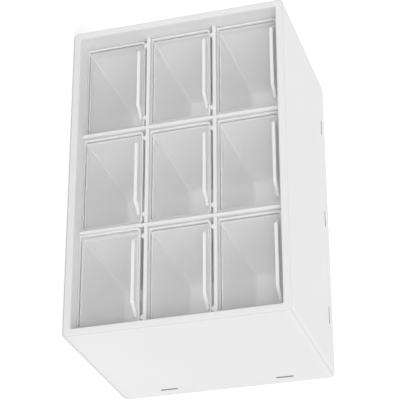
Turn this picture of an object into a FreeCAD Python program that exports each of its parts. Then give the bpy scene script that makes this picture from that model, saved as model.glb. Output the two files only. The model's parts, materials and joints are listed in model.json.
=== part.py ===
# Desktop drawer organizer: a white moulded casing open at the front, a snap-in back panel, a grid of
# two shelves and two uprights half-lapped into one another, and nine clear drawers in three columns
# and three rows. Each drawer is one moulding: front plate, finger fin and tray.
#
# Frame: millimetres, X to the right seen from the front, Y to the back, Z up. The origin is the middle
# of the casing's footprint, on the surface that the organizer stands on.
import FreeCAD
import Part
import Sketcher
import os

COLUMNS = ("left", "centre", "right")
ROWS = ("bottom", "middle", "top")

# Driving dimensions: alias, value in millimetres, meaning
SIZES = (
    ("width", 266.0, "casing, outside, left to right"),
    ("height", 175.0, "casing, outside, bottom to top"),
    ("depth", 140.0, "casing, outside, front to back"),
    ("wall", 6.5, "casing wall, seen as the front rim"),
    ("corner_round", 4.0, "radius of the casing's long outer corners"),
    ("inner_round", 1.0, "radius of the casing's long inner corners"),
    ("rim_round", 1.5, "radius on the outer edge of the front rim"),
    ("mouth_round", 1.0, "radius on the inner edge of the front rim"),
    ("rear_round", 0.8, "radius on the outer edge of the rear rim"),
    ("recess", 12.0, "front rim to the front edges of the dividers"),
    ("divider", 3.0, "thickness of shelves and uprights"),
    ("divider_round", 0.4, "radius on the front edges of the dividers"),
    ("groove", 1.5, "depth of the grooves that hold the dividers' ends"),
    ("fit", 0.15, "clearance around fixed pieces that slide together"),
    ("panel", 2.0, "thickness of the back panel"),
    ("slot_rear", 13.0, "rear rim to the middle of the snap slots"),
    ("slot_clear", 0.15, "clearance between a tab and each long side of its slot"),
    ("slot_end", 1.5, "clearance between a tab and each end of its slot"),
    ("tab_length", 11.0, "length of a snap tab along its wall"),
    ("tab_below", 3.5, "depth of a tab's end below the casing's surface"),
    ("side_spread", 95.0, "distance between the two snap slots of a side wall"),
    ("side_lift", 2.5, "middle height to the middle of a side wall's two slots"),
    ("stop_width", 4.0, "width of a stop nib"),
    ("stop_thick", 2.5, "front to back size of a stop nib"),
    ("stop_drop", 2.0, "how far a stop nib hangs below its shelf"),
    ("stop_round", 1.9, "radius on the lower corners of a stop nib"),
    ("stop_inset", 7.7, "side of a drawer bay to the middle of its stop nib"),
    ("stop_setback", 0.6, "front edges of the dividers to the stop nibs"),
    ("stop_clear", 0.3, "front plate's top edge to the stop nibs"),
    ("plate_setback", 1.8, "front edges of the dividers to the front plates"),
    ("plate", 2.2, "thickness of a drawer's front plate"),
    ("plate_round", 3.0, "radius of a front plate's corners"),
    ("plate_edge", 0.5, "radius around a front plate's face"),
    ("side_clear", 0.8, "side of a bay to the front plate's widest edge"),
    ("side_draft", 0.5, "how much narrower a drawer is at its foot, each side"),
    ("floor_clear", 0.3, "running clearance under a drawer"),
    ("tray_inset", 1.0, "front plate's side edge to the tray's side wall"),
    ("tray_wall", 1.8, "thickness of the tray's walls"),
    ("tray_floor", 1.8, "thickness of the tray's floor"),
    ("tray_drop", 2.5, "front plate's top edge to the top of the side walls"),
    ("tray_round", 1.5, "radius around the floor inside the tray"),
    ("keel_round", 2.0, "radius under the tray's long edges"),
    ("rear_gap", 1.2, "top of a drawer's rear wall to the shelf above"),
    ("rear_play", 6.5, "free space behind a closed drawer"),
    ("pushed_in", 2.0, "how much deeper the bottom left drawer rests"),
    ("eased_out", 3.0, "how much further out the bottom right drawer rests"),
    ("fin", 2.4, "thickness of the finger fin"),
    ("fin_reach", 10.0, "how far the fin stands out of the front plate"),
    ("fin_drop", 1.5, "front plate's top edge to the top of the fin"),
    ("fin_margin", 7.0, "front plate's side edge to the root of the fin"),
    ("fin_slant", 8.0, "how much narrower the fin is at its lip, each side"),
    ("fin_round", 2.0, "radius of the fin's corners, seen from above"),
    ("fin_edge", 1.1, "radius along the fin's edges"),
)

# Expressions that several pieces share
INNER_WIDTH = "(Sizes.width - 2 * Sizes.wall)"
INNER_HEIGHT = "(Sizes.height - 2 * Sizes.wall)"
BAY_WIDTH = f"(({INNER_WIDTH} - {len(COLUMNS) - 1} * Sizes.divider) / {len(COLUMNS)})"
BAY_HEIGHT = f"(({INNER_HEIGHT} - {len(ROWS) - 1} * Sizes.divider) / {len(ROWS)})"
COLUMN_PITCH = f"({BAY_WIDTH} + Sizes.divider)"
ROW_PITCH = f"({BAY_HEIGHT} + Sizes.divider)"
FRONT = "(-Sizes.depth / 2)"
GRID_FRONT = f"({FRONT} + Sizes.recess)"
PANEL_MIDDLE = "(Sizes.depth / 2 - Sizes.slot_rear)"
PANEL_FRONT = f"({PANEL_MIDDLE} - Sizes.panel / 2)"
GRID_REAR = f"({PANEL_FRONT} - Sizes.fit)"
GRID_MIDDLE = f"(({GRID_FRONT} + {GRID_REAR}) / 2)"
SLOT_LENGTH = "(Sizes.tab_length + 2 * Sizes.slot_end)"
SLOT_WIDTH = "(Sizes.panel + 2 * Sizes.slot_clear)"
STOP_FRONT = f"({GRID_FRONT} + Sizes.stop_setback)"
STOP_REACH = f"({BAY_WIDTH} / 2 - Sizes.stop_inset)"
PLATE_FRONT = f"({GRID_FRONT} + Sizes.plate_setback)"
PLATE_HEIGHT = f"({BAY_HEIGHT} - Sizes.floor_clear - Sizes.stop_drop - Sizes.stop_clear)"
PLATE_HALF = f"({BAY_WIDTH} / 2 - Sizes.side_clear)"
REAR_HEIGHT = f"({BAY_HEIGHT} - Sizes.floor_clear - Sizes.rear_gap)"
DRAWER_LENGTH = f"({PANEL_FRONT} - {PLATE_FRONT} - Sizes.rear_play)"
# How far a nib and the fin's root reach into what carries them, so that they are one solid
ROOT = "(Sizes.divider / 2)"
FIN_ROOT = "(Sizes.plate / 2)"
# Drawers that rest a little deeper or further out than the others
REST_SHIFTS = {("left", "bottom"): "Sizes.pushed_in", ("right", "bottom"): "-Sizes.eased_out"}

# Tolerances for finding edges: on exact places, and on the edges' boxes
NEAR = 1e-4
BOX_SLACK = 0.01


def column_centre(column):
    """Expression for the middle of a column of bays, along X."""
    return f"({column - (len(COLUMNS) - 1) / 2} * {COLUMN_PITCH})"


def row_floor(row):
    """Expression for the floor of a row of bays, along Z."""
    return f"(Sizes.wall + {row} * {ROW_PITCH})"


def add_sheet(document):
    """The driving dimensions, one row each: name, value with its alias, meaning."""
    sheet = document.addObject("Spreadsheet::Sheet", "Sizes")
    for row, (alias, value, meaning) in enumerate(SIZES, start=1):
        sheet.set(f"A{row}", alias)
        sheet.set(f"B{row}", str(value))
        sheet.setAlias(f"B{row}", alias)
        sheet.set(f"C{row}", meaning)
    document.recompute()
    return sheet


def number(owner, expression):
    """Value of an expression on the sheet, as a plain number."""
    return float(owner.evalExpression(expression))


def add_body(document, label):
    """A new sub-part; its label names its file."""
    body = document.addObject("PartDesign::Body", label)
    body.Label = label
    return body


def place(body, x="0", y="0", z="0"):
    """Bind the sub-part's place to the sheet."""
    body.setExpression("Placement.Base.x", x)
    body.setExpression("Placement.Base.y", y)
    body.setExpression("Placement.Base.z", z)


def add_sketch(body, role, name, offset="0"):
    """A sketch on one of the body's own origin planes, moved along that plane's normal."""
    sketch = body.newObject("Sketcher::SketchObject", name)
    plane = next(item for item in body.Origin.OriginFeatures if item.Role == role)
    sketch.AttachmentSupport = [(plane, "")]
    sketch.MapMode = "FlatFace"
    sketch.setExpression("AttachmentOffset.Base.z", offset)
    return sketch


def add_polygon(sketch, corners):
    """A closed outline whose corners are bound to expressions for their two coordinates."""
    points = [FreeCAD.Vector(number(sketch, x), number(sketch, y), 0) for x, y in corners]
    first = sketch.GeometryCount
    count = len(points)
    for index, start in enumerate(points):
        sketch.addGeometry(Part.LineSegment(start, points[(index + 1) % count]), False)
    for index in range(count):
        following = first + (index + 1) % count
        sketch.addConstraint(Sketcher.Constraint("Coincident", first + index, 2, following, 1))
    for index, corner in enumerate(corners):
        for kind, expression, value in zip(("DistanceX", "DistanceY"), corner, points[index]):
            made = sketch.addConstraint(Sketcher.Constraint(kind, -1, 1, first + index, 1, value))
            sketch.setExpression(f"Constraints[{made}]", expression)


def add_rectangle(sketch, left, bottom, right, top):
    """A rectangle between four expressions."""
    add_polygon(sketch, ((left, bottom), (right, bottom), (right, top), (left, top)))


def finish_step(body, feature, grows):
    """Recompute and make sure that the feature added or removed material."""
    before = body.Tip.Shape.Volume if body.Tip and body.Tip != feature else 0.0
    body.Tip = feature
    body.Document.recompute()
    change = feature.Shape.Volume - before
    if (change > 0) != grows:
        raise RuntimeError(f"{body.Label}: {feature.Name} changed the volume by {change:.3f}")
    return feature


def pad(body, sketch, length, reversed_way=False, both_ways=False):
    """Add material from a sketch, by an expression for the length."""
    previous = body.Tip
    feature = body.newObject("PartDesign::Pad", sketch.Name + "_pad")
    body.Tip = previous
    feature.Profile = sketch
    feature.Reversed = reversed_way
    feature.Midplane = both_ways
    feature.setExpression("Length", length)
    return finish_step(body, feature, True)


def pocket(body, sketch, length=None, reversed_way=False, both_ways=False):
    """Remove material from a sketch, by an expression for the length or right through."""
    previous = body.Tip
    feature = body.newObject("PartDesign::Pocket", sketch.Name + "_pocket")
    body.Tip = previous
    feature.Profile = sketch
    feature.Reversed = reversed_way
    feature.Midplane = both_ways
    if length is None:
        feature.Type = "ThroughAll"
    else:
        feature.setExpression("Length", length)
    return finish_step(body, feature, False)


def round_edges(body, name, radius, chosen):
    """Round the edges of the body's last feature that the test accepts."""
    base = body.Tip
    names = [f"Edge{index}" for index, edge in enumerate(base.Shape.Edges, start=1) if chosen(edge)]
    if not names:
        raise RuntimeError(f"{body.Label}: {name} found no edge")
    feature = body.newObject("PartDesign::Fillet", name)
    feature.Base = (base, names)
    feature.setExpression("Radius", radius)
    body.Tip = feature
    body.Document.recompute()
    return feature


def runs_along(edge, axis):
    """True for a straight edge along an axis, 0 to 2."""
    if not isinstance(edge.Curve, Part.Line):
        return False
    return abs(abs(edge.Curve.Direction[axis]) - 1) < NEAR


def lies_at(edge, axis, value):
    """True for an edge that stays at one coordinate along an axis."""
    box = edge.BoundBox
    low = (box.XMin, box.YMin, box.ZMin)[axis]
    high = (box.XMax, box.YMax, box.ZMax)[axis]
    return abs(low - value) < BOX_SLACK and abs(high - value) < BOX_SLACK


def make_casing(document):
    """The moulded sleeve: rounded walls, snap slots, divider grooves and the top row's stop nibs."""
    body = add_body(document, "casing")
    outline = add_sketch(body, "XZ_Plane", "casing_outline")
    add_rectangle(outline, "-Sizes.width / 2", "0", "Sizes.width / 2", "Sizes.height")
    pad(body, outline, "Sizes.depth", both_ways=True)
    mouth = add_sketch(body, "XZ_Plane", "casing_mouth")
    add_rectangle(mouth, f"-{INNER_WIDTH} / 2", "Sizes.wall", f"{INNER_WIDTH} / 2",
                  "Sizes.height - Sizes.wall")
    pocket(body, mouth, both_ways=True)

    half_width = number(body, "Sizes.width / 2")
    half_wall = number(body, "Sizes.wall / 2")
    height = number(body, "Sizes.height")
    front = number(body, FRONT)

    def outside(edge):
        """True beyond the middle of the wall."""
        middle = edge.CenterOfMass
        beside = abs(middle.x) > half_width - half_wall
        return beside or middle.z < half_wall or middle.z > height - half_wall

    round_edges(body, "casing_outer_corners", "Sizes.corner_round",
                lambda edge: runs_along(edge, 1) and outside(edge))
    round_edges(body, "casing_inner_corners", "Sizes.inner_round",
                lambda edge: runs_along(edge, 1) and not outside(edge))
    round_edges(body, "casing_rim", "Sizes.rim_round",
                lambda edge: lies_at(edge, 1, front) and outside(edge))
    round_edges(body, "casing_mouth_edge", "Sizes.mouth_round",
                lambda edge: lies_at(edge, 1, front) and inside_mouth(edge, half_width, half_wall, height))
    round_edges(body, "casing_rear_rim", "Sizes.rear_round",
                lambda edge: lies_at(edge, 1, -front) and outside(edge))

    # Snap slots: one per column through the top and bottom, two through each side
    slots = add_sketch(body, "XY_Plane", "casing_slots_top_bottom")
    for column in range(len(COLUMNS)):
        centre = column_centre(column)
        add_rectangle(slots, f"{centre} - {SLOT_LENGTH} / 2", f"{PANEL_MIDDLE} - {SLOT_WIDTH} / 2",
                      f"{centre} + {SLOT_LENGTH} / 2", f"{PANEL_MIDDLE} + {SLOT_WIDTH} / 2")
    pocket(body, slots, reversed_way=True)
    slots = add_sketch(body, "YZ_Plane", "casing_slots_sides")
    for side in (-1, 1):
        centre = f"(Sizes.height / 2 + Sizes.side_lift + {side} * Sizes.side_spread / 2)"
        add_rectangle(slots, f"{PANEL_MIDDLE} - {SLOT_WIDTH} / 2", f"{centre} - {SLOT_LENGTH} / 2",
                      f"{PANEL_MIDDLE} + {SLOT_WIDTH} / 2", f"{centre} + {SLOT_LENGTH} / 2")
    pocket(body, slots, both_ways=True)

    # Grooves for the ends of the dividers, open to the rear
    grooves = add_sketch(body, "XZ_Plane", "casing_shelf_grooves", f"-{GRID_FRONT}")
    for row in range(1, len(ROWS)):
        top = row_floor(row)
        add_rectangle(grooves, f"-{INNER_WIDTH} / 2 - Sizes.groove", f"{top} - Sizes.divider - Sizes.fit",
                      f"{INNER_WIDTH} / 2 + Sizes.groove", f"{top} + Sizes.fit")
    pocket(body, grooves)
    grooves = add_sketch(body, "XZ_Plane", "casing_upright_grooves", f"-{GRID_FRONT}")
    for column in range(1, len(COLUMNS)):
        middle = f"({column_centre(column)} - {COLUMN_PITCH} / 2)"
        add_rectangle(grooves, f"{middle} - Sizes.divider / 2 - Sizes.fit", "Sizes.wall - Sizes.groove",
                      f"{middle} + Sizes.divider / 2 + Sizes.fit",
                      "Sizes.height - Sizes.wall + Sizes.groove")
    pocket(body, grooves)

    add_stops(body, "Sizes.height - Sizes.wall")
    return body


def inside_mouth(edge, half_width, half_wall, height):
    """True for an edge around the casing's opening."""
    middle = edge.CenterOfMass
    return (abs(middle.x) < half_width - half_wall) and half_wall < middle.z < height - half_wall


def add_stops(body, underside):
    """Stop nibs, two over each bay, hanging from the underside at an expression for its height."""
    nibs = add_sketch(body, "XZ_Plane", body.Label + "_nibs", f"-{STOP_FRONT}")
    for column in range(len(COLUMNS)):
        for side in (-1, 1):
            centre = f"({column_centre(column)} + {side} * {STOP_REACH})"
            add_rectangle(nibs, f"{centre} - Sizes.stop_width / 2", f"{underside} - Sizes.stop_drop",
                          f"{centre} + Sizes.stop_width / 2", f"{underside} + {ROOT}")
    pad(body, nibs, "Sizes.stop_thick", reversed_way=True)
    foot = number(body, f"{underside} - Sizes.stop_drop")
    round_edges(body, body.Label + "_nib_corners", "Sizes.stop_round",
                lambda edge: runs_along(edge, 1) and lies_at(edge, 2, foot))


def make_back_panel(document):
    """Flat panel inside the rear of the casing, with tabs that snap into the casing's slots."""
    body = add_body(document, "back_panel")
    outline = add_sketch(body, "XZ_Plane", "panel_outline", "-Sizes.panel / 2")
    half_width = f"({INNER_WIDTH} / 2 - Sizes.fit)"
    half_height = f"({INNER_HEIGHT} / 2 - Sizes.fit)"
    add_rectangle(outline, f"-{half_width}", f"-{half_height}", half_width, half_height)
    pad(body, outline, "Sizes.panel")
    round_edges(body, "panel_corners", "Sizes.inner_round", lambda edge: runs_along(edge, 1))
    tabs = add_sketch(body, "XZ_Plane", "panel_tabs_top_bottom", "-Sizes.panel / 2")
    reach = "(Sizes.height / 2 - Sizes.tab_below)"
    for column in range(len(COLUMNS)):
        centre = column_centre(column)
        add_rectangle(tabs, f"{centre} - Sizes.tab_length / 2", f"-{reach}",
                      f"{centre} + Sizes.tab_length / 2", reach)
    pad(body, tabs, "Sizes.panel")
    tabs = add_sketch(body, "XZ_Plane", "panel_tabs_sides", "-Sizes.panel / 2")
    reach = "(Sizes.width / 2 - Sizes.tab_below)"
    for side in (-1, 1):
        centre = f"(Sizes.side_lift + {side} * Sizes.side_spread / 2)"
        add_rectangle(tabs, f"-{reach}", f"{centre} - Sizes.tab_length / 2", reach,
                      f"{centre} + Sizes.tab_length / 2")
    pad(body, tabs, "Sizes.panel")
    place(body, y=PANEL_MIDDLE, z="Sizes.height / 2")
    return body


def make_shelf(document, row):
    """Shelf over a row of bays, slotted from the front for the uprights, with stop nibs below."""
    body = add_body(document, ("shelf_lower", "shelf_upper")[row])
    half_width = f"({INNER_WIDTH} / 2 + Sizes.groove - Sizes.fit)"
    outline = add_sketch(body, "XY_Plane", body.Label + "_outline")
    add_rectangle(outline, f"-{half_width}", f"{GRID_FRONT} + Sizes.fit", half_width, GRID_REAR)
    pad(body, outline, "Sizes.divider")
    laps = add_sketch(body, "XY_Plane", body.Label + "_laps")
    for column in range(1, len(COLUMNS)):
        middle = f"({column_centre(column)} - {COLUMN_PITCH} / 2)"
        add_rectangle(laps, f"{middle} - Sizes.divider / 2 - Sizes.fit", FRONT,
                      f"{middle} + Sizes.divider / 2 + Sizes.fit", f"{GRID_MIDDLE} + Sizes.fit / 2")
    pocket(body, laps, reversed_way=True)
    front = number(body, f"{GRID_FRONT} + Sizes.fit")
    round_edges(body, body.Label + "_front_edges", "Sizes.divider_round",
                lambda edge: runs_along(edge, 0) and lies_at(edge, 1, front))
    add_stops(body, "0")
    place(body, z=f"{row_floor(row + 1)} - Sizes.divider")
    return body


def make_upright(document, column):
    """Upright right of a column of bays, slotted from the rear for the shelves."""
    body = add_body(document, ("upright_left", "upright_right")[column])
    foot = "(Sizes.wall - Sizes.groove + Sizes.fit)"
    head = "(Sizes.height - Sizes.wall + Sizes.groove - Sizes.fit)"
    outline = add_sketch(body, "YZ_Plane", body.Label + "_outline")
    add_rectangle(outline, f"{GRID_FRONT} + Sizes.fit", foot, GRID_REAR, head)
    pad(body, outline, "Sizes.divider", both_ways=True)
    laps = add_sketch(body, "YZ_Plane", body.Label + "_laps")
    for row in range(1, len(ROWS)):
        top = row_floor(row)
        add_rectangle(laps, f"{GRID_MIDDLE} - Sizes.fit / 2", f"{top} - Sizes.divider - Sizes.fit",
                      "Sizes.depth / 2", f"{top} + Sizes.fit")
    pocket(body, laps, both_ways=True)
    front = number(body, f"{GRID_FRONT} + Sizes.fit")
    round_edges(body, body.Label + "_front_edges", "Sizes.divider_round",
                lambda edge: runs_along(edge, 2) and lies_at(edge, 1, front))
    place(body, x=f"{column_centre(column)} + {COLUMN_PITCH} / 2")
    return body


def make_drawer(document, column, row):
    """One clear drawer, modelled from the middle of its front plate's foot, then put in its bay."""
    body = add_body(document, f"drawer_{ROWS[row]}_{COLUMNS[column]}")
    foot_half = f"({PLATE_HALF} - Sizes.side_draft)"
    slope = f"(Sizes.side_draft / {PLATE_HEIGHT})"

    def half_at(level, inset):
        """Half width of the drafted sides at a height, less an inset."""
        return f"({foot_half} + {slope} * {level} - {inset})"

    # Tray block, as high as the rear wall
    block = add_sketch(body, "XZ_Plane", body.Label + "_block")
    head_half = half_at(REAR_HEIGHT, "Sizes.tray_inset")
    add_polygon(block, ((f"-{foot_half} + Sizes.tray_inset", "0"), (f"{foot_half} - Sizes.tray_inset", "0"),
                        (head_half, REAR_HEIGHT), (f"-{head_half}", REAR_HEIGHT)))
    pad(body, block, DRAWER_LENGTH, reversed_way=True)
    round_edges(body, body.Label + "_keel_edges", "Sizes.keel_round",
                lambda edge: runs_along(edge, 1) and lies_at(edge, 2, 0))

    # Side walls cut down to their height, between the front plate and the rear wall
    relief = add_sketch(body, "XZ_Plane", body.Label + "_relief")
    wall_top = f"({PLATE_HEIGHT} - Sizes.tray_drop)"
    add_rectangle(relief, f"-{BAY_WIDTH} / 2", wall_top, f"{BAY_WIDTH} / 2", BAY_HEIGHT)
    pocket(body, relief, f"{DRAWER_LENGTH} - Sizes.tray_wall")

    # Inside of the tray
    cavity = add_sketch(body, "XZ_Plane", body.Label + "_cavity", "-Sizes.plate")
    inset = "(Sizes.tray_inset + Sizes.tray_wall)"
    low_half = half_at("Sizes.tray_floor", inset)
    high_half = half_at(wall_top, inset)
    add_polygon(cavity, ((f"-{low_half}", "Sizes.tray_floor"), (low_half, "Sizes.tray_floor"),
                         (high_half, wall_top), (f"-{high_half}", wall_top)))
    pocket(body, cavity, f"{DRAWER_LENGTH} - Sizes.plate - Sizes.tray_wall")

    # Front plate, closed over the end of the tray
    plate = add_sketch(body, "XZ_Plane", body.Label + "_plate")
    add_polygon(plate, ((f"-{foot_half}", "0"), (foot_half, "0"), (PLATE_HALF, PLATE_HEIGHT),
                        (f"-{PLATE_HALF}", PLATE_HEIGHT)))
    pad(body, plate, "Sizes.plate", reversed_way=True)
    floor = number(body, "Sizes.tray_floor")
    thick = number(body, "Sizes.plate")
    length = number(body, DRAWER_LENGTH)
    inner = number(body, low_half)

    def in_cavity_floor(edge):
        """True for the four edges around the floor inside the tray."""
        middle = edge.CenterOfMass
        return lies_at(edge, 2, floor) and abs(middle.x) < inner + NEAR and thick - NEAR < middle.y < length

    round_edges(body, body.Label + "_cavity_edges", "Sizes.tray_round", in_cavity_floor)
    top = number(body, PLATE_HEIGHT)
    round_edges(body, body.Label + "_plate_corners", "Sizes.plate_round",
                lambda edge: runs_along(edge, 1) and abs(edge.Length - thick) < NEAR
                and lies_at(edge, 2, top))
    round_edges(body, body.Label + "_plate_face", "Sizes.plate_edge",
                lambda edge: lies_at(edge, 1, 0))

    # Finger fin along the top of the front plate
    fin = add_sketch(body, "XY_Plane", body.Label + "_fin", f"{PLATE_HEIGHT} - Sizes.fin - Sizes.fin_drop")
    root_half = f"({PLATE_HALF} - Sizes.fin_margin)"
    lip_half = f"({root_half} - Sizes.fin_slant)"
    add_polygon(fin, ((f"-{root_half}", FIN_ROOT), (f"-{root_half}", "0"), (f"-{lip_half}", "-Sizes.fin_reach"),
                      (lip_half, "-Sizes.fin_reach"), (root_half, "0"), (root_half, FIN_ROOT)))
    pad(body, fin, "Sizes.fin")
    reach = number(body, "Sizes.fin_reach")
    round_edges(body, body.Label + "_fin_corners", "Sizes.fin_round",
                lambda edge: runs_along(edge, 2) and lies_at(edge, 1, -reach))
    round_edges(body, body.Label + "_fin_edges", "Sizes.fin_edge",
                lambda edge: edge.BoundBox.YMin < -reach / 2 and edge.BoundBox.ZLength < NEAR)

    shift = REST_SHIFTS.get((COLUMNS[column], ROWS[row]), "0")
    place(body, x=column_centre(column), y=f"{PLATE_FRONT} + {shift}",
          z=f"{row_floor(row)} + Sizes.floor_clear")
    return body


def check(document, bodies):
    """Stop if any object failed, or a sub-part isn't one valid solid."""
    for item in document.Objects:
        bad = [state for state in item.State if state in ("Invalid", "Error")]
        if bad:
            raise RuntimeError(f"{item.Name} is {bad}")
    for body in bodies:
        shape = body.Shape
        if shape.isNull() or not shape.isValid() or len(shape.Solids) != 1:
            raise RuntimeError(f"{body.Label} isn't one valid solid")


def main():
    """Build every sub-part, check them and write one STEP file for each."""
    document = FreeCAD.newDocument("drawer_organizer")
    add_sheet(document)
    bodies = [make_casing(document), make_back_panel(document)]
    bodies += [make_shelf(document, row) for row in range(len(ROWS) - 1)]
    bodies += [make_upright(document, column) for column in range(len(COLUMNS) - 1)]
    bodies += [make_drawer(document, column, row)
               for column in range(len(COLUMNS)) for row in range(len(ROWS))]
    document.recompute()
    check(document, bodies)
    os.makedirs("parts", exist_ok=True)
    for body in bodies:
        body.Shape.exportStep(os.path.join("parts", body.Label + ".step"))
        print(f"{body.Label}: {body.Shape.Volume / 1000:.1f} cm3")


main()
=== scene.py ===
"""A white desktop cabinet with nine clear pull-out drawers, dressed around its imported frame.

The cabinet stands on a pale floor in soft studio light. The photograph is turned a quarter turn,
so the camera is rolled with it: the picture's right is the cabinet's top.
"""

import json
import logging
import math
from dataclasses import dataclass, field
from enum import Enum

import bmesh
import bpy
from mathutils import Matrix, Vector

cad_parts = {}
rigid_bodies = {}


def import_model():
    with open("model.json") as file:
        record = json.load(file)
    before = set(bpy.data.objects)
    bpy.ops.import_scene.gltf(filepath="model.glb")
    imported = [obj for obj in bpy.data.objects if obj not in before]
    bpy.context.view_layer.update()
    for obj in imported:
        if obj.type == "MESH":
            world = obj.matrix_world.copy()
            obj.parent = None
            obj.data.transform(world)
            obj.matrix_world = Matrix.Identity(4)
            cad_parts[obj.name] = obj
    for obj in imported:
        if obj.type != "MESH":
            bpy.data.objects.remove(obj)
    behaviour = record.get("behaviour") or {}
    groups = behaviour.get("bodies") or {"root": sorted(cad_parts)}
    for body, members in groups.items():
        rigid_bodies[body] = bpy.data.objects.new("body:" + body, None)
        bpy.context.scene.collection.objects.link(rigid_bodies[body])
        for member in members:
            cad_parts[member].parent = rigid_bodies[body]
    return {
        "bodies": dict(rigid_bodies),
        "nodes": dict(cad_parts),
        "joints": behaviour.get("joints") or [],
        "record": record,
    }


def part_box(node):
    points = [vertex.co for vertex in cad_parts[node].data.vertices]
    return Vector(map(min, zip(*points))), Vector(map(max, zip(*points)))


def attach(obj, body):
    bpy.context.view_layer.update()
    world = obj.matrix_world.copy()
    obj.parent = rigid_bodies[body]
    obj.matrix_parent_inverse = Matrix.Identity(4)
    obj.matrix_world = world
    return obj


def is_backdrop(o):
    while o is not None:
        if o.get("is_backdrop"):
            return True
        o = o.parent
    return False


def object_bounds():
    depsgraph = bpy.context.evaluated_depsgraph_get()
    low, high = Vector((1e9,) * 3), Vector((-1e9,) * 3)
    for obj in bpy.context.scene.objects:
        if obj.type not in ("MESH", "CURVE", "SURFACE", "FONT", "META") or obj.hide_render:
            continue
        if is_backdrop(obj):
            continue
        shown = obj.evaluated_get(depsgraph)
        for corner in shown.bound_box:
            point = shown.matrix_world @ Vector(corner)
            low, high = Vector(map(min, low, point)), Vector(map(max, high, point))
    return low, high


LOG = logging.getLogger("drawer_cabinet")
MM = 0.001

# The sRGB curve is straight below its toe and a power above it
SRGB_TOE = 0.04045
SRGB_SLOPE = 12.92
SRGB_LIFT = 0.055
SRGB_POWER = 2.4

# How a flat pattern is turned, as angles round x, y and z
LYING = (0.0, 0.0, 0.0)
UPRIGHT = (math.radians(90), 0.0, 0.0)


class Row(Enum):
    """The three rows of bays, from the desk upwards."""

    BOTTOM = "bottom"
    MIDDLE = "middle"
    TOP = "top"


class Column(Enum):
    """The three columns of bays, seen from the front."""

    LEFT = "left"
    CENTRE = "centre"
    RIGHT = "right"


class Plastic(Enum):
    """The record's two material slots."""

    WHITE = "white_plastic"
    CLEAR = "clear_plastic"


def linear_colour(hex_colour: str) -> tuple[float, float, float, float]:
    """Turns an sRGB hex colour into the linear colour that Blender's sockets take.

    Args:
        hex_colour: six hex digits after a hash sign.

    Returns:
        Red, green, blue and an alpha of 1.
    """
    linear = []
    for start in (1, 3, 5):
        channel = int(hex_colour[start : start + 2], 16) / 255
        if channel <= SRGB_TOE:
            linear.append(channel / SRGB_SLOPE)
        else:
            linear.append(((channel + SRGB_LIFT) / (1 + SRGB_LIFT)) ** SRGB_POWER)
    return (*linear, 1.0)


def add_node(
    tree: bpy.types.NodeTree, kind: str, settings: dict | None = None, **links: bpy.types.NodeSocket
) -> bpy.types.Node:
    """Adds a node to a tree, sets it and links what feeds it.

    An input goes by its index where its node has more inputs of that name, as a Math node's values
    and a Mix node's colours do: its inputs 6 and 7 are the colours, and output 2 is their mix.

    Args:
        tree: the tree that gets the node.
        kind: the node's type name.
        settings: values by attribute name, or by input name or index.
        links: output sockets by input name, with underscores for spaces, or by i0, i1 and so on
            for an input's index.

    Returns:
        The new node.
    """
    node = tree.nodes.new(kind)
    for name, value in (settings or {}).items():
        if isinstance(name, str) and hasattr(node, name):
            setattr(node, name, value)
        else:
            node.inputs[name].default_value = value
    for name, source in links.items():
        if name[0] == "i" and name[1:].isdigit():
            target = node.inputs[int(name[1:])]
        else:
            target = node.inputs[name.replace("_", " ")]
        tree.links.new(source, target)
    return node


def new_material(name: str) -> tuple[bpy.types.Material, bpy.types.NodeTree, bpy.types.Node]:
    """Starts an empty node material.

    Args:
        name: the material's name.

    Returns:
        The material, its tree and its output node.
    """
    material = bpy.data.materials.new(name)
    material.use_nodes = True
    material.node_tree.nodes.clear()
    output = add_node(material.node_tree, "ShaderNodeOutputMaterial")
    return material, material.node_tree, output


def find_facing(tree: bpy.types.NodeTree) -> tuple[bpy.types.NodeSocket, bpy.types.NodeSocket]:
    """Finds how squarely a surface faces along the object's axes.

    Args:
        tree: the material's tree.

    Returns:
        A socket that is 1 on a flat wall and less on a round, and one that is 1 where the surface
        faces the front or the back.
    """
    normal = add_node(tree, "ShaderNodeTexCoord").outputs["Normal"]
    size = add_node(tree, "ShaderNodeVectorMath", {"operation": "ABSOLUTE"}, i0=normal)
    across, along, upright = add_node(tree, "ShaderNodeSeparateXYZ", None, i0=size.outputs[0]).outputs
    level = add_node(tree, "ShaderNodeMath", {"operation": "MAXIMUM"}, i0=across, i1=along)
    flat = add_node(tree, "ShaderNodeMath", {"operation": "MAXIMUM"}, i0=level.outputs[0], i1=upright)
    return flat.outputs[0], along


def seen_directly(tree: bpy.types.NodeTree) -> bpy.types.NodeSocket:
    """Finds the rays that the camera, a gloss or a clear wall sends out.

    Args:
        tree: the tree that asks.

    Returns:
        A socket that is 1 for such a ray and 0 for one that only carries light.
    """
    path = add_node(tree, "ShaderNodeLightPath").outputs
    seen = path["Is Camera Ray"]
    for ray in ("Is Glossy Ray", "Is Transmission Ray"):
        either = add_node(tree, "ShaderNodeMath", {"operation": "MAXIMUM"}, i0=seen, i1=path[ray])
        seen = either.outputs[0]
    return seen


def dress(piece: bpy.types.Object, material: bpy.types.Material) -> None:
    """Gives every material slot of a CAD node's object one material.

    Args:
        piece: the node's object.
        material: the finish.
    """
    for slot in piece.material_slots:
        slot.link = "OBJECT"
        slot.material = material


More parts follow.
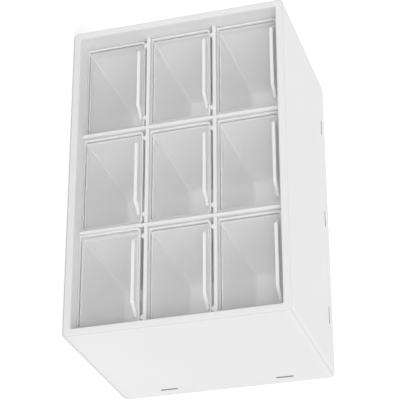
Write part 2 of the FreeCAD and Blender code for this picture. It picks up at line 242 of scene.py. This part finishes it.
@dataclass(frozen=True)
class Zone:
    """A box along the object's axes, in metres, where a finish changes."""

    low: tuple[float, float, float]
    high: tuple[float, float, float]

    def test(self, tree: bpy.types.NodeTree, place: bpy.types.NodeSocket) -> bpy.types.NodeSocket:
        """Tests whether a place lies in the zone.

        Args:
            tree: the material's tree.
            place: the place, as a vector.

        Returns:
            A socket that is 1 in the zone and 0 outside it.
        """
        axes = add_node(tree, "ShaderNodeSeparateXYZ", None, i0=place).outputs
        tests = []
        for axis, low, high in zip(axes, self.low, self.high):
            span = {"operation": "COMPARE", 1: (low + high) / 2, 2: (high - low) / 2}
            tests.append(add_node(tree, "ShaderNodeMath", span, i0=axis).outputs[0])
        inside, *others = tests
        for other in others:
            both = add_node(tree, "ShaderNodeMath", {"operation": "MINIMUM"}, i0=inside, i1=other)
            inside = both.outputs[0]
        return inside


@dataclass(frozen=True)
class Fronts:
    """Where the drawers' fronts are when the drawers are in, in metres."""

    pitch: tuple[float, float]  # from bay to bay, across and up
    row_start: float  # just under the lowest row
    plate_rear: float  # just behind the deepest front plate
    lip_rear: float  # just behind the deepest lip
    window: Zone  # the plain middle of the plates, in the lowest bay of the middle column


@dataclass(frozen=True)
class WhiteStyrene:
    """High-impact polystyrene, injection moulded in a lightly etched tool: opaque, white, nearly matt.

    It has a broad highlight and a very faint grain. Its rounded edges are painted a shade greyer, a
    painted shade that draws them as thin darker lines, and the walls of the snap slots much darker, a
    painted shade for those recesses.
    """

    name: str = "white_high_impact_polystyrene_moulded"
    colour: str = "#EEEEEE"
    deep_colour: str = "#EBEBEB"
    # painted shade: the rounded edges are drawn a shade greyer, as thin darker lines
    round_shade_colour: str = "#D6D6D6"
    round_turn: tuple[float, float] = (0.78, 0.995)  # how squarely a round and a flat wall face
    # painted shade: the walls of the snap slots are drawn dark, for the shade inside those recesses
    slot_shade_colour: str = "#8C8C8C"
    ior: float = 1.59
    gloss: float = 0.18  # the etched skin scatters much of the mirror reflection
    roughness: float = 0.60
    roughness_spread: float = 0.06
    flow_mm: float = 60.0
    flow_detail: float = 3.0
    grain_mm: float = 0.5  # an etched tool's grain is about 0.1 mm, drawn coarser to show
    grain_detail: float = 2.0
    grain_height_mm: float = 0.012

    def make(self, slots: tuple[Zone, Zone]) -> bpy.types.Material:
        """Builds the material.

        Args:
            slots: where the snap slots cut the right wall and the top wall.

        Returns:
            The finished material.
        """
        material, tree, output = new_material(self.name)
        place = add_node(tree, "ShaderNodeTexCoord").outputs["Object"]
        grain = add_node(
            tree,
            "ShaderNodeTexNoise",
            {"Scale": 1 / (self.grain_mm * MM), "Detail": self.grain_detail},
            Vector=place,
        ).outputs["Fac"]
        rough = add_node(
            tree,
            "ShaderNodeMapRange",
            {
                "To Min": self.roughness - self.roughness_spread,
                "To Max": self.roughness + self.roughness_spread,
            },
            Value=grain,
        )
        bump = add_node(
            tree,
            "ShaderNodeBump",
            {"Strength": 1.0, "Distance": self.grain_height_mm * MM},
            Height=grain,
        )
        shader = add_node(
            tree,
            "ShaderNodeBsdfPrincipled",
            {"IOR": self.ior, "Specular IOR Level": self.gloss},
            Base_Color=self.tint(tree, place, slots),
            Roughness=rough.outputs[0],
            Normal=bump.outputs[0],
        )
        tree.links.new(shader.outputs[0], output.inputs["Surface"])
        return material

    def tint(
        self, tree: bpy.types.NodeTree, place: bpy.types.NodeSocket, slots: tuple[Zone, Zone]
    ) -> bpy.types.NodeSocket:
        """Mixes the colour: slow flow of the melt, then painted shade, greyer on the rounds and much
        darker in the snap slots.

        Args:
            tree: the material's tree.
            place: the object's coordinates.
            slots: where the snap slots cut the right wall and the top wall.

        Returns:
            A socket with the colour.
        """
        flow = add_node(
            tree,
            "ShaderNodeTexNoise",
            {"Scale": 1 / (self.flow_mm * MM), "Detail": self.flow_detail},
            Vector=place,
        )
        colour = add_node(
            tree,
            "ShaderNodeMix",
            {"data_type": "RGBA", 6: linear_colour(self.deep_colour), 7: linear_colour(self.colour)},
            i0=flow.outputs["Fac"],
        ).outputs[2]
        flat, _ = find_facing(tree)
        rounded = add_node(
            tree,
            "ShaderNodeMapRange",
            {
                "From Min": self.round_turn[0],
                "From Max": self.round_turn[1],
                "To Min": 1.0,
                "To Max": 0.0,
            },
            Value=flat,
        )
        # Painted shade: greyer on the rounds, much darker on the walls of the snap slots
        shades = (
            (rounded.outputs[0], self.round_shade_colour),
            (self.slot_shade_mask(tree, place, slots), self.slot_shade_colour),
        )
        for share, shade in shades:
            settings = {"data_type": "RGBA", 7: linear_colour(shade)}
            colour = add_node(tree, "ShaderNodeMix", settings, i0=share, i6=colour).outputs[2]
        return colour

    def slot_shade_mask(
        self, tree: bpy.types.NodeTree, place: bpy.types.NodeSocket, slots: tuple[Zone, Zone]
    ) -> bpy.types.NodeSocket:
        """Finds the walls of the snap slots, inside the thickness of the casing, where the painted
        shade goes.

        Args:
            tree: the material's tree.
            place: the object's coordinates.
            slots: where the snap slots cut the right wall and the top wall. The left is mirrored.

        Returns:
            A socket that is 1 in a slot and 0 elsewhere.
        """
        across, along, upright = add_node(tree, "ShaderNodeSeparateXYZ", None, i0=place).outputs
        off_middle = add_node(tree, "ShaderNodeMath", {"operation": "ABSOLUTE"}, i0=across)
        mirrored = add_node(
            tree, "ShaderNodeCombineXYZ", None, i0=off_middle.outputs[0], i1=along, i2=upright
        )
        in_side, in_top = (slot.test(tree, mirrored.outputs[0]) for slot in slots)
        either = add_node(tree, "ShaderNodeMath", {"operation": "MAXIMUM"}, i0=in_side, i1=in_top)
        return either.outputs[0]


@dataclass(frozen=True)
class ClearStyrene:
    """General purpose polystyrene, injection moulded and polished: clear, hard and glossy.

    The walls bend what is behind them, their edges catch the light, and slow flow lines left by
    the melt make the view through them a little soft. Lamps shine through it without a shadow.
    """

    name: str = "clear_polystyrene_moulded"
    colour: str = "#F9F9F9"
    lamp_tint: str = "#FEFEFE"
    ior: float = 1.59
    roughness: float = 0.09
    clearness: float = 0.79
    edge_clearness: float = 0.20
    rim_clearness: float = 0.15
    lip_clearness: float = 0.12
    band_clearness: float = 0.48
    edge_turn: tuple[float, float] = (0.90, 0.995)  # how squarely a round and a flat wall face
    half_turned: float = 0.5  # a wall that faces the front by less than this is seen edge-on
    flow_mm: float = 14.0
    flow_detail: float = 1.0
    flow_height_mm: float = 0.02

    def make(self, fronts: Fronts) -> bpy.types.Material:
        """Builds the material.

        Args:
            fronts: where the drawers' fronts are.

        Returns:
            The finished material.
        """
        material, tree, output = new_material(self.name)
        place = add_node(tree, "ShaderNodeTexCoord").outputs["Object"]
        flow = add_node(
            tree,
            "ShaderNodeTexNoise",
            {"Scale": 1 / (self.flow_mm * MM), "Detail": self.flow_detail},
            Vector=place,
        )
        bump = add_node(
            tree,
            "ShaderNodeBump",
            {"Strength": 1.0, "Distance": self.flow_height_mm * MM},
            Height=flow.outputs["Fac"],
        )
        shader = add_node(
            tree,
            "ShaderNodeBsdfPrincipled",
            {"Base Color": linear_colour(self.colour), "IOR": self.ior, "Roughness": self.roughness},
            Normal=bump.outputs[0],
            Transmission_Weight=self.edge_glow(tree, place, fronts),
        )
        open_wall = add_node(
            tree, "ShaderNodeBsdfTransparent", {"Color": linear_colour(self.lamp_tint)}
        )
        for_lamps = add_node(tree, "ShaderNodeLightPath").outputs["Is Shadow Ray"]
        shown = add_node(
            tree,
            "ShaderNodeMixShader",
            None,
            i0=for_lamps,
            i1=shader.outputs[0],
            i2=open_wall.outputs[0],
        )
        tree.links.new(shown.outputs[0], output.inputs["Surface"])
        return material

    def edge_glow(
        self, tree: bpy.types.NodeTree, place: bpy.types.NodeSocket, fronts: Fronts
    ) -> bpy.types.NodeSocket:
        """Lowers the clearness where the plastic gathers light.

        That is on rounds, on the plate's rim, on the lip, and round the plate's window, where the
        tray's walls and floor end on the plate.

        Args:
            tree: the material's tree.
            place: the object's coordinates.
            fronts: where the drawers' fronts are.

        Returns:
            A socket with how clear the plastic is there.
        """
        flat, ahead = find_facing(tree)
        clear = add_node(
            tree,
            "ShaderNodeMapRange",
            {
                "From Min": self.edge_turn[0],
                "From Max": self.edge_turn[1],
                "To Min": self.edge_clearness,
                "To Max": self.clearness,
            },
            Value=flat,
        ).outputs[0]
        depth = add_node(tree, "ShaderNodeSeparateXYZ", None, i0=place).outputs["Y"]
        limit = self.half_turned
        edge_on = add_node(tree, "ShaderNodeMath", {"operation": "LESS_THAN", 1: limit}, i0=ahead)
        face_on = add_node(tree, "ShaderNodeMath", {"operation": "GREATER_THAN", 1: limit}, i0=ahead)
        window = fronts.window.test(tree, self.fold_bays(tree, place, fronts))
        around = add_node(tree, "ShaderNodeMath", {"operation": "SUBTRACT", 0: 1.0}, i1=window)
        bands = (
            (fronts.plate_rear, edge_on, self.rim_clearness),
            (fronts.lip_rear, face_on, self.lip_clearness),
            (fronts.plate_rear, around, self.band_clearness),
        )
        for rear, test, clearness in bands:
            before = add_node(tree, "ShaderNodeMath", {"operation": "LESS_THAN", 1: rear}, i0=depth)
            both = add_node(
                tree,
                "ShaderNodeMath",
                {"operation": "MULTIPLY"},
                i0=before.outputs[0],
                i1=test.outputs[0],
            )
            share = add_node(
                tree, "ShaderNodeMapRange", {"To Min": 1.0, "To Max": clearness}, Value=both.outputs[0]
            )
            clear = add_node(
                tree, "ShaderNodeMath", {"operation": "MINIMUM"}, i0=clear, i1=share.outputs[0]
            ).outputs[0]
        return clear

    def fold_bays(
        self, tree: bpy.types.NodeTree, place: bpy.types.NodeSocket, fronts: Fronts
    ) -> bpy.types.NodeSocket:
        """Folds all bays onto the lowest bay of the middle column.

        Args:
            tree: the material's tree.
            place: the object's coordinates.
            fronts: where the drawers' fronts are.

        Returns:
            A socket with the place in that bay, as a vector.
        """
        across, along, upright = add_node(tree, "ShaderNodeSeparateXYZ", None, i0=place).outputs
        half_pitch = fronts.pitch[0] / 2
        next_row = fronts.row_start + fronts.pitch[1]
        in_column = add_node(
            tree, "ShaderNodeMath", {"operation": "WRAP", 1: half_pitch, 2: -half_pitch}, i0=across
        )
        in_row = add_node(
            tree, "ShaderNodeMath", {"operation": "WRAP", 1: next_row, 2: fronts.row_start}, i0=upright
        )
        return add_node(
            tree, "ShaderNodeCombineXYZ", None, i0=in_column.outputs[0], i1=along, i2=in_row.outputs[0]
        ).outputs[0]


@dataclass(frozen=True)
class PaleFloor:
    """Matt studio board: a plain pale diffuse surface, lifted to white where the camera sees it lit."""

    name: str = "matt_studio_board"
    colour: str = "#D8D8D8"
    white: str = "#E0E0E0"
    lift: float = 0.42

    def make(self) -> bpy.types.Material:
        """Builds the material.

        Returns:
            The finished material.
        """
        material, tree, output = new_material(self.name)
        board = add_node(tree, "ShaderNodeBsdfDiffuse", {"Color": linear_colour(self.colour)})
        white = add_node(tree, "ShaderNodeBsdfDiffuse", {"Color": linear_colour(self.white)})
        glow = add_node(tree, "ShaderNodeEmission", {"Strength": self.lift})
        both = add_node(tree, "ShaderNodeAddShader", None, i0=white.outputs[0], i1=glow.outputs[0])
        shown = add_node(
            tree,
            "ShaderNodeMixShader",
            None,
            i0=seen_directly(tree),
            i1=board.outputs[0],
            i2=both.outputs[0],
        )
        tree.links.new(shown.outputs[0], output.inputs["Surface"])
        return material


@dataclass
class PinMarks:
    """Shallow rings in rows, left where ejector pins push a moulding out of its tool.

    Geometry nodes lay the rows out and sweep each ring. Sizes are in millimetres.
    """

    spread: tuple[float, float]
    count: tuple[int, int]
    ring_radius: float = 2.5
    bead_radius: float = 0.15
    ring_steps: int = 32
    bead_steps: int = 8

    def make_tree(self) -> bpy.types.NodeTree:
        """Builds the node tree, with a named input for each size.

        Returns:
            The tree.
        """
        inputs = {
            "Spread across": "NodeSocketFloat",
            "Spread along": "NodeSocketFloat",
            "Count across": "NodeSocketInt",
            "Count along": "NodeSocketInt",
            "Ring radius": "NodeSocketFloat",
            "Bead radius": "NodeSocketFloat",
            "Place": "NodeSocketVector",
            "Turn": "NodeSocketVector",
            "Finish": "NodeSocketMaterial",
        }
        tree, given = start_tree("pin_marks", inputs)
        rows = add_node(
            tree,
            "GeometryNodeMeshGrid",
            None,
            Size_X=given["Spread across"],
            Size_Y=given["Spread along"],
            Vertices_X=given["Count across"],
            Vertices_Y=given["Count along"],
        )
        path = add_node(
            tree,
            "GeometryNodeCurvePrimitiveCircle",
            {"Resolution": self.ring_steps},
            Radius=given["Ring radius"],
        )
        ring = sweep_bead(tree, path.outputs["Curve"], given["Bead radius"], self.bead_steps)
        marks = add_node(
            tree, "GeometryNodeInstanceOnPoints", None, Points=rows.outputs["Mesh"], Instance=ring
        )
        placed = add_node(
            tree,
            "GeometryNodeTransform",
            None,
            Geometry=marks.outputs["Instances"],
            Translation=given["Place"],
            Rotation=given["Turn"],
        )
        finish_tree(tree, placed.outputs[0], given["Finish"])
        return tree

    def make(
        self, name: str, place: Vector, turn: tuple[float, float, float], finish: bpy.types.Material
    ) -> bpy.types.Object:
        """Lays the rings out on a face and turns them into one plain mesh.

        Args:
            name: the new piece's name.
            place: the middle of the rows, in the row frame.
            turn: how the rows are turned from lying flat, as angles round x, y and z.
            finish: the material.

        Returns:
            The piece, at the origin, with its place in its mesh.
        """
        values = {
            "Spread across": self.spread[0] * MM,
            "Spread along": self.spread[1] * MM,
            "Count across": self.count[0],
            "Count along": self.count[1],
            "Ring radius": self.ring_radius * MM,
            "Bead radius": self.bead_radius * MM,
            "Place": tuple(place),
            "Turn": turn,
            "Finish": finish,
        }
        return grow(name, self.make_tree(), values)


@dataclass
class LipBead:
    """The fine raised bead that runs round the top of a finger fin and catches the light.

    Geometry nodes sweep it along the fin's outline. Sizes are in millimetres.
    """

    root_width: float = 64.3
    lip_width: float = 48.6
    reach: float = 8.2
    corner: float = 1.6
    corner_steps: int = 6
    bead_radius: float = 0.35
    bead_steps: int = 8

    def make_tree(self) -> bpy.types.NodeTree:
        """Builds the node tree, with a named input for each size.

        Returns:
            The tree.
        """
        inputs = {
            "Root width": "NodeSocketFloat",
            "Lip width": "NodeSocketFloat",
            "Reach": "NodeSocketFloat",
            "Corner": "NodeSocketFloat",
            "Bead radius": "NodeSocketFloat",
            "Place": "NodeSocketVector",
            "Finish": "NodeSocketMaterial",
        }
        tree, given = start_tree("lip_bead", inputs)
        outline = add_node(
            tree,
            "GeometryNodeCurvePrimitiveQuadrilateral",
            {"mode": "TRAPEZOID", "Offset": 0.0},
            Height=given["Reach"],
            Bottom_Width=given["Lip width"],
            Top_Width=given["Root width"],
        )
        rounded = add_node(
            tree,
            "GeometryNodeFilletCurve",
            {"mode": "POLY", "Count": self.corner_steps},
            Curve=outline.outputs["Curve"],
            Radius=given["Corner"],
        )
        bead = sweep_bead(tree, rounded.outputs["Curve"], given["Bead radius"], self.bead_steps)
        placed = add_node(
            tree, "GeometryNodeTransform", None, Geometry=bead, Translation=given["Place"]
        )
        finish_tree(tree, placed.outputs[0], given["Finish"])
        return tree

    def make(self, name: str, place: Vector, finish: bpy.types.Material) -> bpy.types.Object:
        """Sweeps the bead round a fin.

        Args:
            name: the new piece's name.
            place: the middle of the bead's outline, in the row frame.
            finish: the material.

        Returns:
            The piece, at the origin, with its place in its mesh.
        """
        values = {
            "Root width": self.root_width * MM,
            "Lip width": self.lip_width * MM,
            "Reach": self.reach * MM,
            "Corner": self.corner * MM,
            "Bead radius": self.bead_radius * MM,
            "Place": tuple(place),
            "Finish": finish,
        }
        return grow(name, self.make_tree(), values)


def start_tree(
    name: str, inputs: dict[str, str]
) -> tuple[bpy.types.NodeTree, bpy.types.NodeOutputs]:
    """Starts a geometry node tree with named inputs and a geometry output.

    Args:
        name: the tree's name.
        inputs: kinds of socket by input name.

    Returns:
        The tree, and the sockets that give its inputs, by name.
    """
    tree = bpy.data.node_groups.new(name, "GeometryNodeTree")
    tree.interface.new_socket("Geometry", in_out="OUTPUT", socket_type="NodeSocketGeometry")
    for label, kind in inputs.items():
        tree.interface.new_socket(label, in_out="INPUT", socket_type=kind)
    return tree, add_node(tree, "NodeGroupInput").outputs


def sweep_bead(
    tree: bpy.types.NodeTree, path: bpy.types.NodeSocket, radius: bpy.types.NodeSocket, steps: int
) -> bpy.types.NodeSocket:
    """Sweeps a round bead along a closed path.

    Args:
        tree: the geometry node tree.
        path: the path, as a curve.
        radius: the bead's radius.
        steps: how many sides the bead has.

    Returns:
        A socket with the bead's mesh.
    """
    section = add_node(tree, "GeometryNodeCurvePrimitiveCircle", {"Resolution": steps}, Radius=radius)
    return add_node(
        tree, "GeometryNodeCurveToMesh", None, Curve=path, Profile_Curve=section.outputs["Curve"]
    ).outputs["Mesh"]


def finish_tree(
    tree: bpy.types.NodeTree, shape: bpy.types.NodeSocket, finish: bpy.types.NodeSocket
) -> None:
    """Ends a geometry node tree with real, smooth geometry in its material.

    Args:
        tree: the tree.
        shape: the socket that gives the finished shape.
        finish: the socket that gives the material.
    """
    solid = add_node(tree, "GeometryNodeRealizeInstances", None, Geometry=shape)
    smooth = add_node(tree, "GeometryNodeSetShadeSmooth", None, Geometry=solid.outputs[0])
    finished = add_node(
        tree, "GeometryNodeSetMaterial", None, Geometry=smooth.outputs[0], Material=finish
    )
    add_node(tree, "NodeGroupOutput", None, Geometry=finished.outputs[0])


def grow(name: str, tree: bpy.types.NodeTree, values: dict[str, object]) -> bpy.types.Object:
    """Runs a geometry node tree and keeps what it makes as one plain mesh.

    Args:
        name: the new piece's name.
        tree: the tree.
        values: what each of the tree's inputs gets, by name.

    Returns:
        The piece, at the origin, with its place in its mesh.
    """
    maker = bpy.data.objects.new(name + "_maker", bpy.data.meshes.new(name + "_maker"))
    bpy.context.scene.collection.objects.link(maker)
    modifier = maker.modifiers.new("nodes", "NODES")
    modifier.node_group = tree
    for item in tree.interface.items_tree:
        if item.in_out == "INPUT":
            modifier[item.identifier] = values[item.name]
    shown = maker.evaluated_get(bpy.context.evaluated_depsgraph_get())
    mesh = bpy.data.meshes.new_from_object(shown)
    maker.modifiers.remove(modifier)
    bpy.data.objects.remove(maker)
    turn_outwards(mesh)
    piece = bpy.data.objects.new(name, mesh)
    bpy.context.scene.collection.objects.link(piece)
    return piece


def turn_outwards(mesh: bpy.types.Mesh) -> None:
    """Makes a closed mesh's faces point outwards.

    Args:
        mesh: the mesh, changed in place.
    """
    shape = bmesh.new()
    shape.from_mesh(mesh)
    bmesh.ops.recalc_face_normals(shape, faces=shape.faces)
    shape.to_mesh(mesh)
    shape.free()


@dataclass
class Cabinet:
    """The fixed pieces: the moulded casing, its back panel, two shelves and two uprights.

    Sizes are in millimetres.
    """

    finish: WhiteStyrene = field(default_factory=WhiteStyrene)
    marks: PinMarks = field(
        default_factory=lambda: PinMarks(
            spread=(190.0, 110.0), count=(3, 3), ring_radius=4.5, bead_radius=0.3
        )
    )
    nodes: tuple[str, ...] = (
        "casing",
        "back_panel",
        "shelf_lower",
        "shelf_upper",
        "upright_left",
        "upright_right",
    )
    wall: float = 6.5
    skin: float = 0.1  # the slots' shade stops this far inside the wall's faces
    slot_play: float = 0.2  # and goes this far past the back panel's faces
    corner: float = 5.0  # no slot comes nearer than this to a corner of the casing

    def build(self, frame: dict, outer_corner: Vector) -> None:
        """Dresses the fixed pieces.

        Args:
            outer_corner: the right, rear and top corner of the CAD box.
        """
        low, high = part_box("back_panel")
        white = self.finish.make(self.find_slots(outer_corner, low.y, high.y))
        for node in self.nodes:
            dress(frame["nodes"][node], white)
            LOG.info("%s finished in %s", node, self.finish.name)
        place = Vector(((low.x + high.x) / 2, high.y, (low.z + high.z) / 2))
        rings = self.marks.make("back_panel_pin_marks", place, UPRIGHT, white)
        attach(rings, "cabinet")
        LOG.info("%s made of %d faces", rings.name, len(rings.data.polygons))

    def find_slots(
        self, outer_corner: Vector, panel_front: float, panel_rear: float
    ) -> tuple[Zone, Zone]:
        """Works out where the snap slots cut the right wall and the top wall.

        Args:
            outer_corner: the right, rear and top corner of the CAD box.
            panel_front: the front face of the back panel, along y.
            panel_rear: its rear face.

        Returns:
            The zone in the right wall and the zone in the top wall.
        """
        skin = self.skin * MM
        inner = (self.wall - self.skin) * MM
        corner = self.corner * MM
        front = panel_front - self.slot_play * MM
        rear = panel_rear + self.slot_play * MM
        side_slots = Zone(
            (outer_corner.x - inner, front, corner),
            (outer_corner.x - skin, rear, outer_corner.z - inner - corner),
        )
        # Places are mirrored to the right, so this starts a little past the middle for the middle slot
        top_slots = Zone(
            (-corner, front, outer_corner.z - inner),
            (outer_corner.x - inner - corner, rear, outer_corner.z - skin),
        )
        return side_slots, top_slots


@dataclass
class Drawers:
    """The nine clear drawers. Sizes are in millimetres."""

    finish: ClearStyrene = field(default_factory=ClearStyrene)
    marks: PinMarks = field(
        default_factory=lambda: PinMarks(spread=(52.0, 76.0), count=(2, 3))
    )
    bead: LipBead = field(default_factory=LipBead)
    front_plate: float = 2.2
    plate_height: float = 49.4
    top_band: float = 1.3  # the plate's top gathers light this far down
    side_band: float = 2.17  # and its sides this far in, about to the middle of the tray's walls
    floor: float = 1.8
    fin_reach: float = 10.0
    fin_drop: float = 1.5  # plate's top edge to the top of the fin
    lip_depth: float = 1.7  # the lip gathers light this far behind the fin's front
    margin: float = 0.5  # what marks the fronts reaches this far behind and ahead of them
    foot_margin: float = 0.8  # and a row is taken to start this far under its drawers

    def build(self, frame: dict) -> None:
        """Dresses the drawers.
        """
        boxes = {}
        for column in Column:
            for row in Row:
                node = node_name(row, column)
                boxes[node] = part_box(node)
        clear = self.finish.make(self.find_fronts(boxes))
        for node, (low, high) in boxes.items():
            dress(frame["nodes"][node], clear)
            rings = self.mark_floor(node, low, high, clear)
            bead = self.edge_fin(node, low, high, clear)
            LOG.info("%s finished in %s, with %s and %s", node, self.finish.name, rings.name, bead.name)

    def find_fronts(self, boxes: dict[str, tuple[Vector, Vector]]) -> Fronts:
        """Works out where the drawers' fronts are.

        Args:
            boxes: each drawer's lowest and highest corners.

        Returns:
            The places that the clear plastic needs.
        """
        low, high = boxes[node_name(Row.BOTTOM, Column.CENTRE)]
        beside, _ = boxes[node_name(Row.BOTTOM, Column.RIGHT)]
        above, _ = boxes[node_name(Row.MIDDLE, Column.CENTRE)]
        fin_fronts = [corner.y for corner, _ in boxes.values()]
        plate_rear = max(fin_fronts) + (self.fin_reach + self.front_plate + self.margin) * MM
        half_window = (high.x - low.x) / 2 - self.side_band * MM
        window = Zone(
            (-half_window, min(fin_fronts) - self.margin * MM, low.z + self.floor * MM),
            (half_window, plate_rear, low.z + (self.plate_height - self.top_band) * MM),
        )
        return Fronts(
            pitch=(beside.x - low.x, above.z - low.z),
            row_start=low.z - self.foot_margin * MM,
            plate_rear=plate_rear,
            lip_rear=max(fin_fronts) + self.lip_depth * MM,
            window=window,
        )

    def mark_floor(
        self, node: str, low: Vector, high: Vector, clear: bpy.types.Material
    ) -> bpy.types.Object:
        """Sets the ejector pins' marks on a tray's floor.

        Args:
            node: the drawer.
            low: the drawer's lowest corner.
            high: the drawer's highest corner.
            clear: the drawer's material.

        Returns:
            The marks, riding on the drawer.
        """
        front = low.y + (self.fin_reach + self.front_plate) * MM
        place = Vector(((low.x + high.x) / 2, (front + high.y) / 2, low.z + self.floor * MM))
        rings = self.marks.make(node + "_pin_marks", place, LYING, clear)
        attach(rings, node)
        return rings

    def edge_fin(
        self, node: str, low: Vector, high: Vector, clear: bpy.types.Material
    ) -> bpy.types.Object:
        """Runs the bead round the top of a drawer's finger fin.

        Args:
            node: the drawer.
            low: the drawer's lowest corner.
            high: the drawer's highest corner.
            clear: the drawer's material.

        Returns:
            The bead, riding on the drawer.
        """
        fin_top = low.z + (self.plate_height - self.fin_drop) * MM
        place = Vector(((low.x + high.x) / 2, low.y + self.fin_reach / 2 * MM, fin_top))
        bead = self.bead.make(node + "_lip_bead", place, clear)
        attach(bead, node)
        return bead


def node_name(row: Row, column: Column) -> str:
    """Gives a drawer's node, which is also its body."""
    return f"drawer_{row.value}_{column.value}"


@dataclass(frozen=True)
class SoftLamp:
    """A large soft lamp so far away that its light is even over the whole set."""

    name: str
    towards: tuple[float, float, float]
    strength: float
    spread_deg: float

    def make(self) -> None:
        """Adds the lamp."""
        light = bpy.data.lights.new(self.name, "SUN")
        light.energy = self.strength
        light.angle = math.radians(self.spread_deg)
        lamp = bpy.data.objects.new(self.name, light)
        lamp.rotation_mode = "QUATERNION"
        lamp.rotation_quaternion = Vector(self.towards).to_track_quat("Z", "Y")
        bpy.context.scene.collection.objects.link(lamp)


@dataclass
class Studio:
    """The floor, the light and the camera. Lengths are in metres where a name gives no other unit."""

    floor_reach: float = 6.0
    floor_finish: PaleFloor = field(default_factory=PaleFloor)
    sky_colour: str = "#FFFFFF"
    sky_strength: float = 0.45
    lamps: tuple[SoftLamp, ...] = (
        SoftLamp("front_lamp", (0.48, -0.84, 0.28), 1.39, 60.0),
        SoftLamp("fill_lamp", (0.44, -0.86, 0.25), 0.38, 20.0),
        SoftLamp("top_lamp", (0.10, 0.10, 0.95), 0.95, 30.0),
        SoftLamp("side_lamp", (0.92, 0.30, 0.25), 0.52, 30.0),
    )
    eye: tuple[float, float, float] = (0.5779, -1.0796, 0.4132)
    aim: tuple[float, float, float] = (-0.4576, 0.8509, -0.2582)
    picture_right: tuple[float, float, float] = (0.0017, 0.2912, 0.9567)
    picture_px: float = 400.0
    focal_px: float = 1584.6
    sensor_mm: float = 36.0
    sight: tuple[float, float] = (0.05, 50.0)

    def build(self) -> None:
        """Makes the whole set."""
        self.make_floor()
        self.make_sky()
        for lamp in self.lamps:
            lamp.make()
        self.make_camera()
        bpy.context.scene.view_settings.view_transform = "Standard"
        LOG.info("studio set up")

    def make_floor(self) -> None:
        """Lays the floor that the cabinet stands on."""
        mesh = bpy.data.meshes.new("floor")
        reach = self.floor_reach
        corners = [(-reach, -reach, 0), (reach, -reach, 0), (reach, reach, 0), (-reach, reach, 0)]
        mesh.from_pydata(corners, [], [(0, 1, 2, 3)])
        floor = bpy.data.objects.new("floor", mesh)
        mesh.materials.append(self.floor_finish.make())
        bpy.context.scene.collection.objects.link(floor)
        floor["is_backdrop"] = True

    def make_sky(self) -> None:
        """Surrounds the set with an even pale light that the camera sees as white."""
        world = bpy.context.scene.world or bpy.data.worlds.new("studio")
        bpy.context.scene.world = world
        world.use_nodes = True
        tree = world.node_tree
        tree.nodes.clear()
        colour = linear_colour(self.sky_colour)
        light = add_node(tree, "ShaderNodeBackground", {"Color": colour, "Strength": self.sky_strength})
        white = add_node(tree, "ShaderNodeBackground", {"Color": colour, "Strength": 1.0})
        shown = add_node(
            tree,
            "ShaderNodeMixShader",
            None,
            i0=seen_directly(tree),
            i1=light.outputs[0],
            i2=white.outputs[0],
        )
        add_node(tree, "ShaderNodeOutputWorld", None, Surface=shown.outputs[0])

    def make_camera(self) -> None:
        """Sets the camera at the photograph's place, rolled as the photograph is."""
        lens = bpy.data.cameras.new("camera")
        lens.sensor_fit = "HORIZONTAL"
        lens.sensor_width = self.sensor_mm
        lens.lens = self.focal_px / self.picture_px * self.sensor_mm
        lens.clip_start, lens.clip_end = self.sight
        camera = bpy.data.objects.new("camera", lens)
        back = -Vector(self.aim).normalized()
        right = Vector(self.picture_right)
        right = (right - right.dot(back) * back).normalized()
        up = back.cross(right)
        turn = Matrix((right, up, back)).transposed().to_4x4()
        camera.matrix_world = Matrix.Translation(self.eye) @ turn
        bpy.context.scene.collection.objects.link(camera)
        bpy.context.scene.camera = camera


def main() -> None:
    """Builds everything in order."""
    logging.basicConfig(level=logging.INFO, format="%(name)s: %(message)s")
    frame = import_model()
    cad_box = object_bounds()
    Cabinet().build(frame, cad_box[1])
    Drawers().build(frame)
    Studio().build()


if __name__ == "__main__":
    main()
